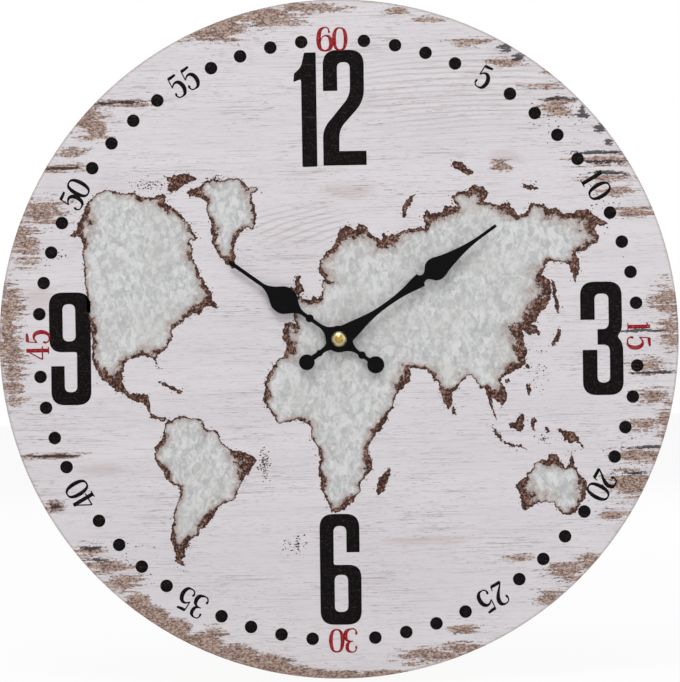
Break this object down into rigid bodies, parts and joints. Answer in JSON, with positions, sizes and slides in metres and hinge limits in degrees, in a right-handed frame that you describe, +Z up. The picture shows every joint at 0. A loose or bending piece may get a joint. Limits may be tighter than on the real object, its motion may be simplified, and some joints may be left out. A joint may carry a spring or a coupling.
{
  "type": "world time clock",
  "caption": "Round battery wall clock: a thin printed disc with a map of the world behind black spade hands and bold hour numerals, hung by its movement.",
  "frame": {"origin": "where the line that the hands turn about meets the wall, on the back plane of the movement", "axes": "+X to the right as the clock is read, +Y into the wall along the hands' shaft, +Z up to twelve o'clock"},
  "size_m": [0.34, 0.0319, 0.34],
  "materials": {
    "board": "medium-density fibreboard with a sawn edge",
    "print": "printed white planks with a map in galvanised grey, satin",
    "hand": "satin black",
    "brass": "turned brass",
    "rubber": "matt",
    "housing": "fine moulded texture",
    "wheel": "natural white moulding",
    "knob": "moulded",
    "steel": "plain",
    "bobbin": "natural moulding",
    "copper": "enamelled copper wire",
    "circuit": "green board",
    "resin": "black resin drop",
    "contact": "nickel-plated spring strip",
    "battery": "plain printed sleeve with bare ends"
  },
  "bodies": {
    "clock": {"dial_board": "board", "printed_face": "print", "dial_washer": "brass", "fixing_nut": "brass", "rubber_washer": "rubber", "threaded_bush": "brass", "front_case": "housing", "rear_cover": "housing", "motor_block": "housing", "coil_core": "steel", "coil_bobbin": "bobbin", "coil_winding": "copper", "circuit_board": "circuit", "circuit_chip": "resin", "quartz_crystal": "steel", "positive_contact": "contact", "negative_contact": "contact"},
    "minute": {"minute_hand": "hand", "hand_nut": "brass", "minute_arbor": "brass"},
    "hour": {"hour_hand": "hand", "hour_wheel": "wheel"},
    "motion": {"motion_wheel": "wheel"},
    "setting": {"setting_knob": "knob"},
    "cell": {"battery": "battery"}
  },
  "joints": [
    {"name": "minute_hand_turn", "type": "hinge", "parent": "clock", "child": "minute", "pos_m": [0, 0, 0], "axis": [0, 1, 0], "continuous": true},
    {"name": "hour_hand_turn", "type": "hinge", "parent": "clock", "child": "hour", "pos_m": [0, 0, 0], "axis": [0, 1, 0], "continuous": true},
    {"name": "motion_wheel_turn", "type": "hinge", "parent": "clock", "child": "motion", "pos_m": [0.00945, 0, -0.00083], "axis": [0, 1, 0], "continuous": true},
    {"name": "setting_knob_turn", "type": "hinge", "parent": "clock", "child": "setting", "pos_m": [0.0189, 0, -0.00165], "axis": [0, 1, 0], "continuous": true},
    {"name": "battery_slide", "type": "slide", "parent": "clock", "child": "cell", "axis": [0, 1, 0], "range_m": [0, 0.018]}
  ],
  "couplings": [
    {"joint": "hour_hand_turn", "follows": "minute_hand_turn", "ratio": 0.083333},
    {"joint": "motion_wheel_turn", "follows": "minute_hand_turn", "ratio": -0.33333},
    {"joint": "setting_knob_turn", "follows": "minute_hand_turn", "ratio": 1}
  ]
}
